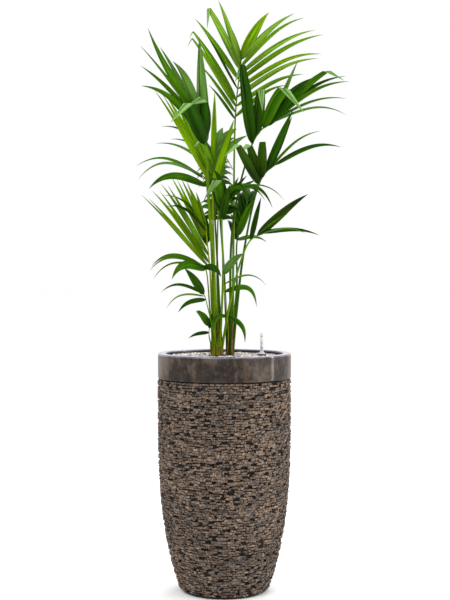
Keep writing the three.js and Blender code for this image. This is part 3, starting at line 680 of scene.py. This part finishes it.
def make_rim():
    """The smooth band with its wide lip, slightly uneven."""
    edge = 3.0
    low, high, r, inside = RIM_BOTTOM, RIM_TOP, RIM_RADIUS, RIM_INSIDE
    split = high - 4.5
    band = (
        arc((r - edge, low + edge), edge, -90, 0, 5)
        + [(r, low + (split - low) * k / 8) for k in range(1, 8)]
        + [(r, split - 0.2), (r, split)]
        + [(inside, z) for z in (split, split - 0.2, low + 20, low)]
    )
    lip = (
        [(r, split), (r, split + 0.2)]
        + arc((r - edge, high - edge), edge, 0, 90, 6)
        + [(r - 8, high + 0.3), (r - 14, high + 0.2)]
        + arc((inside + edge, high - edge), edge, 90, 180, 6)
        + [(inside, split + 0.2), (inside, split)]
    )

    def uneven(turn):
        return 0.5 * sin(3 * turn + 1) + 0.25 * sin(11 * turn), 0.25 * sin(5 * turn)

    # the lip's tones are a painted reflection, paler than the band's
    for name, profile, *look in (("rim_band", band, 0.16, 0.12, (255, 238, 220), BAND_TONES),
                                 ("rim_lip", lip, 1.0, 0.2, (238, 234, 255), LIP_TONES)):
        pile = Pile()
        pile.add(*turned(profile, 160, uneven))
        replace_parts(pile.piece(name, glaze_look(name, *look), "rim_band"), "planter_rim")


PEBBLE = (2.9, 5.0)  # half size
PEBBLES = 2000


def ball():
    """A closed ball of 42 points and its triangles."""
    made = bmesh.new()
    bmesh.ops.create_icosphere(made, subdivisions=2, radius=1)
    points = np.array([v.co[:] for v in made.verts])
    faces = [[v.index for v in f.verts] for f in made.faces]
    made.free()
    return points, faces


def make_gravel():
    draw = random.Random(5)
    points, faces = ball()
    bed = Pile()
    edge = RIM_INSIDE - 0.5
    top = GRAVEL_TOP
    bed.add(*turned([(0.5, top - 14), (edge, top - 14), (edge, top - 5), (edge * 0.8, top - 3.5),
                     (0.5, top - 3.5)], 72))
    base = bed.piece("gravel_bed", grit_look("gravel_bed", (92, 84, 75), (158, 148, 136), 120), "gravel")
    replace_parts(base, "gravel_topping")
    piles = {name: Pile() for name in PEBBLE_TONES}
    golden = pi * (3 - sqrt(5))
    for k in range(PEBBLES):
        size = draw.uniform(*PEBBLE)
        radius = (edge - size) * sqrt((k + 0.5) / PEBBLES) + draw.uniform(-1.5, 1.5)
        radius = min(radius, edge - size)
        turn = k * golden + draw.uniform(-0.02, 0.02)
        at = np.array([radius * cos(turn), radius * sin(turn), top - 3.2])
        if any(np.hypot(*(at[:2] - s["at"])) < s["flare"] - 3 for s in STEMS.values()):
            continue
        stretch = np.array([size, size * draw.uniform(0.7, 1), size * draw.uniform(0.6, 0.95)])
        bumps = 1 + 0.16 * np.array([noise.noise(Vector(p * 1.4) + Vector((k, 0, 0))) for p in points])
        shape = points * bumps[:, None] * stretch
        spin, lean = draw.uniform(0, pi), draw.uniform(-0.5, 0.5)
        for a, angle in enumerate((spin, lean)):
            c, s = cos(angle), sin(angle)
            shape[:, a:a + 2] = shape[:, a:a + 2] @ np.array([[c, s], [-s, c]])
        at[2] += draw.uniform(-0.8, 1.4)
        tone = draw.choices(list(PEBBLE_TONES), (5, 3, 3, 2.6, 1.2))[0]
        piles[tone].add(shape + at, faces)
    for name, pile in piles.items():
        stones = pile.piece("pebbles_" + name, pebble_look(name, PEBBLE_TONES[name]), "gravel")
        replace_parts(stones, "gravel_topping")


def finish_soil():
    """The soil fills the planter under the gravel, out of sight."""
    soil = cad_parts["potting_soil"]
    soil.data.materials.clear()
    soil.data.materials.append(grit_look("soil", (26, 18, 12), (70, 52, 38), 180).material)


def make_gauge():
    """A clear tube over a small domed base, with a white stick, two yellow marks and a red one."""
    low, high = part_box("water_gauge_base")
    centre = np.array([low.x + high.x, low.y + high.y, 0]) / 2 / MM
    z, disc, dome = low.z / MM, (high.x - low.x) / 2 / MM, 11.5
    low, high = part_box("water_gauge_tube")
    radius = (high.x - low.x) / 2 / MM + 0.5
    foot, head = low.z / MM, high.z / MM + 4

    def part(name, profile, look, slot):
        points, faces = turned(profile, 40)
        pile = Pile()
        pile.add(points + centre, faces)
        made = pile.piece(name, look, slot)
        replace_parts(made, "water_" + slot)

    edge = 0.8
    top = z + 4
    plate = [(0.2, z), (disc, z)] + arc((disc - edge, top - edge), edge, 0, 90, 4)
    plate += [(dome + 0.6, top), (0.2, top)]
    part("gauge_disc", plate, plastic_look("gauge_dark", (52, 38, 42)), "gauge_base")
    rise = [(dome * cos(a), top + 5.5 * sin(a)) for a in np.radians(np.linspace(0, 58, 9))]
    collar = [(radius + 0.5, rise[-1][1]), (radius + 0.5, foot + 0.6)]
    part("gauge_dome", [(0.2, top)] + rise + collar + [(0.2, foot + 0.6)],
         plastic_look("gauge_pale", (206, 205, 214), 0.35), "gauge_base")
    cap = 1.4
    shell = [(radius - 0.9, foot), (radius, foot), (radius, head - cap)]
    shell += arc((radius - cap, head - cap), cap, 0, 90, 4)
    shell += [(0.2, head), (0.2, head - 1), (radius - 0.9, head - 1.4)]
    part("gauge_tube", shell, clear_look(), "gauge_tube")
    stick = radius * 0.5
    part("gauge_stick", [(0.2, foot), (stick, foot), (stick, head - 3), (0.2, head - 3)],
         plastic_look("gauge_white", (232, 232, 228)), "gauge_tube")
    ring = stick + 0.9
    for name, low, high, colour in (
            ("red", foot + 6, foot + 11, (170, 40, 20)), ("yellow_low", foot + 23, foot + 27, YELLOW),
            ("yellow_high", foot + 42, foot + 46, YELLOW)):
        part("gauge_mark_" + name, [(stick, low), (ring, low), (ring, high), (stick, high)],
             plastic_look("gauge_" + name, colour), "gauge_tube")


# ---- Curves
def catmull(points, t):
    """The source's rib curve: uniform Catmull-Rom through the points, tension 0.5."""
    last = len(points) - 1
    at = t * last
    i = min(int(at), last - 1)
    w = at - i
    p1, p2 = points[i], points[i + 1]
    p0 = points[i - 1] if i > 0 else 2 * p1 - p2
    p3 = points[i + 2] if i + 2 <= last else 2 * p2 - p1
    start, end = (p2 - p0) / 2, (p3 - p1) / 2
    return ((2 * w**3 - 3 * w**2 + 1) * p1 + (w**3 - 2 * w**2 + w) * start
            + (-2 * w**3 + 3 * w**2) * p2 + (w**3 - w**2) * end)


def rib_points(frond):
    stem = STEMS[frond["stem"]]
    out = stem["radius"] + frond["stalk"] * STALK_OUT
    turn = radians(frond["around"])
    foot = np.array([*stem["at"], GROUND + STALK_FOOT]) + out * np.array([cos(turn), sin(turn), 0])
    return [np.array(p, float) for p in (foot, *frond["points"])]


def rib_radius(frond, t):
    neck, tip = frond["stalk"] * RIB_NECK, frond["stalk"] * RIB_TIP
    if t < NECK_AT:
        return frond["stalk"] + (neck - frond["stalk"]) * (t / NECK_AT)
    return neck + (tip - neck) * ((t - NECK_AT) / (1 - NECK_AT))


def stray(a, b, c):
    """The source's seeded number between -1 and 1."""
    mixed = sin(a * 12.9898 + b * 78.233 + c * 37.719) * 43758.5453
    return 2 * (mixed - floor(mixed)) - 1


def between(value, share):
    """A value between the first leaflet's and the last one's."""
    return value[0] + (value[1] - value[0]) * share if isinstance(value, tuple) else value


def reach_at(reaches, share):
    first, last = reaches[0], reaches[-1]
    if len(reaches) < 3:
        return first + (last - first) * share
    return (first * (1 - share) * (1 - 2 * share) + reaches[1] * 4 * share * (1 - share)
            + last * share * (2 * share - 1))


FINER = ("frond_centre_right", "frond_back_right", "frond_back_low", "frond_back_left", "frond_back_tall")
FINER_SIZE = 0.75
SPLIT = ("frond_lower_left", "frond_left_bright")
SPLIT_FROM, SPLIT_APART, SPLIT_WIDTH, SPLIT_SHORT = 12, 0.42, 0.7, 0.93
FACING = unit(np.array([0, -1, 0.35]))


def leaflets(frond, number, finer, split):
    """Every leaflet of a frond by the source's rule, with its colour and its fold.

    Where finer is set, a smaller leaflet grows between each two of a fan. Where split is set,
    a broad leaflet of a fan is two narrow ones side by side.
    """
    points = rib_points(frond)
    for row, fan in enumerate(frond["fans"]):
        last, folds = fan["count"] - 1, fan["folds"]
        for i in [*range(last + 1)] + [k + 0.5 for k in range(last)] * finer:
            share = i / last if last else 0
            along = between(fan["on"], share)
            whole = i == int(i)
            small = 1 if whole else FINER_SIZE
            reach = reach_at(fan["reaches"], share) * small
            side = (1 if i % 2 else -1) if whole else 0
            aside = [LEAF_STRAY * stray(number, row, i + 0.1 * k) for k in (1, 2, 3)]
            aside[1] += LEAF_SPREAD * side
            reach = reach + np.linalg.norm(reach) * np.array(aside)
            uneven = 1 - WIDTH_STRAY + WIDTH_STRAY * stray(number, row, i)
            leaf = {"root": catmull(points, NECK_AT + (1 - NECK_AT) * along * LAST_LEAF), "reach": reach,
                    "width": between(fan["width"], share) * uneven * small,
                    "arch": between(fan["arch"], share), "turn": radians(fan["turn"]),
                    "tone": fan["tones"][int(i) % len(fan["tones"])],
                    "fold": folds[i % len(folds)] if whole else 0}
            if not split or not last or leaf["fold"] or leaf["width"] < SPLIT_FROM:
                yield leaf
                continue
            part = unit(np.cross(FACING, reach)) * leaf["width"] * SPLIT_APART
            for way, long in ((1, 1), (-1, SPLIT_SHORT)):
                yield {**leaf, "reach": (reach + part * way) * long, "width": leaf["width"] * SPLIT_WIDTH}


LEAF_ROWS = 22
LEAF_ACROSS = 9


def leaf_outline(t):
    """The source's outline of a leaflet: a narrow root, a full middle and a long point."""
    return min(1.0, 2.6 * sqrt(t + 0.004) * (1 - t))


FOLD_RADIUS = 1.6  # of the bend where a blade's end folds over
FOLD_ROWS = 7
FOLD_SKEW = 1.7  # the most that rows lean to lie along a crease


def rotated(v, axis, angle):
    """v turned about a unit axis."""
    c, s = cos(angle), sin(angle)
    return v * c + np.cross(axis, v) * s + axis * np.dot(axis, v) * (1 - c)


class Fold:
    """A straight crease across a flat blade; what lies past it turns over and hangs."""

    def __init__(self, place, way, side, share, aside, out):
        front = unit(np.cross(way, side))
        front = front if front[1] < 0 else -front
        drop = np.array([aside, 0, -1])
        drop = unit(drop - front * np.dot(drop, front))
        crease = unit(way + drop)
        self.place, self.share = place, share
        self.past = unit(way - crease * np.dot(way, crease))
        self.crease = crease if np.dot(crease, side) > 0 else -crease
        self.normal = front * out
        lean = np.dot(self.crease, way) / max(0.05, np.dot(self.crease, side))
        self.lean = np.clip(lean, -FOLD_SKEW, FOLD_SKEW)
        self.speed = np.dot(way, self.past)

    def bent(self, point):
        """Where a point of the flat blade goes when it is rolled round the crease."""
        rel = point - self.place
        along, past, high = np.dot(rel, self.crease), np.dot(rel, self.past), np.dot(rel, self.normal)
        if past < 0:
            return point
        angle = min(past / FOLD_RADIUS, pi)
        inner = FOLD_RADIUS - high
        left = max(0, past - pi * FOLD_RADIUS)
        return (self.place + self.crease * along + self.past * (inner * sin(angle) - left)
                + self.normal * (FOLD_RADIUS - inner * cos(angle)))


def blade_rows(leaf, hang):
    """(t, place, direction, sideways) along the flat blade, t past 1 where it is folded, and the fold."""
    root, reach = leaf["root"], leaf["reach"]
    length = np.linalg.norm(reach)
    chord = reach / length
    rise = (UP - chord * chord[2]) * leaf["arch"] * length * 2.6
    facing = rotated(unit(FACING - chord * np.dot(FACING, chord)), chord, leaf["turn"])
    hang = 0 if leaf["fold"] else hang

    def point(t):
        droop = max(0.0, (t - 0.55) / 0.45) ** 2
        return root + reach * t + rise * (t - t**3) - UP * length * hang * droop

    rows = []
    for t in np.linspace(0, 1, LEAF_ROWS) ** 0.9:
        way = unit(point(min(1, t + 0.01)) - point(max(0, t - 0.01)))
        rows.append((t, point(t), way, unit(np.cross(facing, way))))
    if not leaf["fold"]:
        return rows, None
    _, end, way, side = rows[-1]
    fold = Fold(end, way, side, *leaf["fold"])
    bend = pi * FOLD_RADIUS / fold.speed / length
    steps = list(np.linspace(0, bend, FOLD_ROWS)[1:])
    steps += list(np.linspace(bend, max(fold.share, bend * 1.5), LEAF_ROWS)[1:])
    rows += [(1 + t, end + way * length * t, way, side) for t in steps]
    return rows, fold


def blade(leaf, draw):
    """A leaflet's closed blade: keeled along its midrib, pleated and twisted a little.

    The end of a folded blade shows its underside and is given as a form of its own.
    """
    hang = draw.uniform(0.0, 0.05)
    keel_fold = draw.uniform(0.14, 0.38)
    turn = draw.uniform(-0.3, 0.3)
    curl = draw.uniform(-0.35, 0.35)
    pleat = draw.uniform(0.03, 0.06)
    rows, fold = blade_rows(leaf, hang)
    whole = rows[-1][0]
    rings, spots = [], []
    for t, centre, along, edge in rows:
        share = t / whole
        near = 0 if fold is None else min(1, max(0, (t - 0.6) / 0.4))
        flat = 1 - near * near * (3 - 2 * near)
        up = unit(np.cross(edge, along))
        angle = (turn * min(1, share * 3) + curl * share) * flat
        side = edge * cos(angle) + up * sin(angle)
        up = up * cos(angle) - edge * sin(angle)
        lean = 0 if fold is None else fold.lean * (1 - flat)
        half = leaf["width"] / 2 * 1.15 * leaf_outline(share) + 0.15
        thick = max(0.25, 0.5 * (1 - 0.6 * share))
        face, back, places = [], [], []
        for j in range(LEAF_ACROSS):
            u = 2 * j / (LEAF_ACROSS - 1) - 1
            pleated = pleat * cos(3 * pi * u) * (0.3 + 0.7 * flat)
            height = half * (keel_fold * (1 - abs(u)) * flat + pleated) * min(1, 6 * (1 - share))
            keel = 0.5 * exp(-((u / 0.16) ** 2)) * (1 - share)
            spot = centre + (side + along * lean) * half * u - up * height
            face.append(spot - up * (thick + keel))
            back.append(spot + up * thick)
            places.append(((u + 1) / 2, share))
        ring = face + back[::-1]
        rings.append(ring if fold is None else [fold.bent(p) for p in ring])
        spots.append(places + places[::-1])
    cut = LEAF_ROWS + FOLD_ROWS // 2
    parts = [(0, len(rows))] if fold is None else [(0, cut), (cut - 1, len(rows))]
    return [tube(rings[a:b], spots[a:b]) for a, b in parts]


RIB_ROWS = 60
RIB_SIDES = 9


def rib(frond):
    """A stalk and its rib, grooved in front and stouter at the foot."""
    points = rib_points(frond)
    rings, spots = [], []
    for k in range(RIB_ROWS):
        t = k / (RIB_ROWS - 1)
        along = unit(catmull(points, min(1, t + 0.004)) - catmull(points, max(0, t - 0.004)))
        side = unit(np.cross([0, 1, 0], along))
        up = unit(np.cross(side, along))
        radius = rib_radius(frond, t)
        swell = 1 + 0.25 * max(0.0, 1 - t / 0.08)
        centre = catmull(points, t) - UP * (0 if k else STALK_FOOT)
        ring, places = [], []
        for j in range(RIB_SIDES):
            turn = 2 * pi * j / RIB_SIDES
            grooved = 1 - 0.16 * max(0.0, cos(turn - pi / 2)) ** 4
            r = radius * swell * grooved
            ring.append(centre + side * r * cos(turn) + up * r * sin(turn))
            places.append((j / RIB_SIDES, t * 4))
        rings.append(ring)
        spots.append(places)
    return tube(rings, spots)


def make_fronds():
    """All blades of a colour are one piece, and all ribs of a colour."""
    draw = random.Random(17)
    blades = {tone: Pile() for tone in LEAF_TONES}
    ribs = {}
    for number, (name, frond) in enumerate(FRONDS.items()):
        ribs.setdefault(frond["skin"], Pile()).add(*rib(frond))
        for leaf in leaflets(frond, number, name in FINER, name in SPLIT):
            for tone, form in zip((leaf["tone"], "light"), blade(leaf, draw)):
                blades[tone].add(*form)
    for tone, pile in blades.items():
        made = pile.piece("leaflets_" + tone, leaf_look("leaf_" + tone, *LEAF_TONES[tone]), "leaf")
        users = [n for n, f in FRONDS.items()
                 if any(tone in row["tones"] or tone == "light" and any(row["folds"]) for row in f["fans"])]
        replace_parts(made, *users)
    for skin, pile in ribs.items():
        made = pile.piece("ribs_stalk_" + skin, stalk_look("stalk_" + skin, STALK_TONES[skin]), "leaf")
        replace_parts(made, *[n for n, f in FRONDS.items() if f["skin"] == skin])


# ---- Stems
def stem_line(stem, t):
    foot, lean = np.array([*stem["at"], GROUND]), np.array([*stem["lean"], 0])
    return foot + lean * t * t + UP * stem["height"] * t


def stem_radius(stem, t):
    up = max(0.0, 1 - t * stem["height"] / FLARE_HEIGHT)
    flare = (stem["flare"] - stem["radius"]) * up * up
    return stem["radius"] + (stem["tip"] - stem["radius"]) * t**1.5 + flare


def make_stems():
    draw = random.Random(23)
    cane, sheath = cane_look(), sheath_look()
    for side, stem in STEMS.items():
        pile = Pile()
        rings, spots = [], []
        rows, sides = 40, 40
        for k in range(rows):
            t = k / (rows - 1)
            ring, places = [], []
            for j in range(sides):
                turn = 2 * pi * j / sides
                ridges = 0.06 * sin(5 * turn + 1) + 0.03 * sin(13 * turn + 2 * t)
                r = stem_radius(stem, t) * (1 + ridges)
                r += 0.5 * noise.noise(Vector((turn * 2, t * 6, 3)))
                ring.append(stem_line(stem, t) + np.array([r * cos(turn), r * sin(turn), 0]))
                places.append((j / sides, t))
            rings.append(ring)
            spots.append(places)
        pile.add(*tube(rings, spots))
        for turn, low, tall, wide in stem["living"]:
            pile.add(*sheath_strip(stem, radians(turn), low, tall, wide, STALKS_OUT - 0.6, 1.5))
        made = pile.piece("cane_" + side, cane, "cane")
        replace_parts(made, "stem_" + side)
        scraps = Pile()
        for _ in range(SCRAPS):
            turn, low, tall = draw.uniform(0, 2 * pi), draw.uniform(0, 0.35), draw.uniform(0.2, 0.6)
            wide, loose = draw.uniform(0.12, 0.4), draw.uniform(0.5, 2.5)
            scraps.add(*sheath_strip(stem, turn, low, tall, wide, 0, loose))
        for turn, low, tall, wide, proud in stem["sheaths"]:
            scraps.add(*sheath_strip(stem, radians(turn), low, tall, wide, STALKS_OUT, 2.5, proud))
        dry = scraps.piece("sheaths_" + side, sheath, "cane")
        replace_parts(dry, "stem_" + side)


def sheath_strip(stem, turn, low, tall, wide, out, loose, proud=0):
    """A strip of an old leaf sheath on the stem, or round its stalks, that frays to a point."""
    rows, across = 10, 5
    rings, spots = [], []
    for k in range(rows):
        s = k / (rows - 1)
        t = min(0.98, low + tall * s)
        line = stem_line(stem, t)
        face, back, places = [], [], []
        for j in range(across):
            u = 2 * j / (across - 1) - 1
            angle = turn + u * wide * (1 - s**2) + 0.15 * s
            r = stem_radius(stem, t) + out + 0.8 + proud * sqrt(s) + loose * s**3
            r += 0.6 * sin(9 * s + 5 * u) * bool(out)
            way = np.array([cos(angle), sin(angle), 0])
            face.append(line + way * r)
            back.append(line + way * (r - 0.9))
            places.append(((u + 1) / 2, s))
        rings.append(face + back[::-1])
        spots.append(places + places[::-1])
    return tube(rings, spots)


# ---- Studio
def make_stage():
    """A pale floor under a white sky."""
    points = [(x, y, 0.0) for y in (-30.0, 60.0) for x in (-30.0, 30.0)]
    data = bpy.data.meshes.new("studio_floor")
    data.from_pydata(points, [], [(0, 1, 3, 2)])
    data.materials.append(Surface("studio_paper", Roughness=0.9, Base_Color=(1, 1, 1, 1)).material)
    paper = placed("studio_floor", data)
    paper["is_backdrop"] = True


def make_lights():
    world = bpy.data.worlds.new("studio")
    world.use_nodes = True
    sky = world.node_tree.nodes["Background"]
    sky.inputs["Color"].default_value = (1, 1, 1, 1)
    bpy.context.scene.world = world
    for name, at, aim, size, power in (
            ("key", (-1.8, -2.6, 3.0), (0, 0, 1.0), (1.6, 1.6), 52),
            ("fill", (2.8, -1.6, 1.4), (0, 0, 0.8), (1.6, 2.2), 26),
            ("strip", (2.2, -0.05, 0.9), (0, -0.05, 0.7), (0.2, 1.7), 16),
            ("back", (0.6, 2.4, 3.0), (0, 0, 1.3), (1.8, 1.4), 45)):
        lamp = bpy.data.lights.new(name, "AREA")
        lamp.shape = "RECTANGLE"
        lamp.size, lamp.size_y = size
        lamp.energy = power
        made = placed(name, lamp)
        made.location = at
        made.rotation_euler = (Vector(aim) - Vector(at)).to_track_quat("-Z", "Y").to_euler()


CAMERA = (0.002, -3.8, 0.962)
LONG_SIDE = 600  # pixels of the photograph's height
FOCAL_LENGTH = 1263.5  # in its pixels
HORIZON_ABOVE_MIDDLE = 31  # pixels


def make_camera():
    data = bpy.data.cameras.new("camera")
    data.sensor_width = 36
    data.lens = FOCAL_LENGTH * data.sensor_width / LONG_SIDE
    data.shift_y = -HORIZON_ABOVE_MIDDLE / LONG_SIDE
    camera = placed("camera", data)
    camera.location = CAMERA
    camera.rotation_euler = (pi / 2, 0, 0)
    bpy.context.scene.camera = camera


def write_sizes():
    boxes = {"cad": CAD_BOX, "visual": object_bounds()}
    {name: [list(corner) for corner in box] for name, box in boxes.items()}


make_camera()
make_lights()
make_stage()
make_planter()
make_rim()
make_gravel()
finish_soil()
make_gauge()
make_stems()
make_fronds()
bpy.context.scene.view_settings.view_transform = "Standard"
write_sizes()
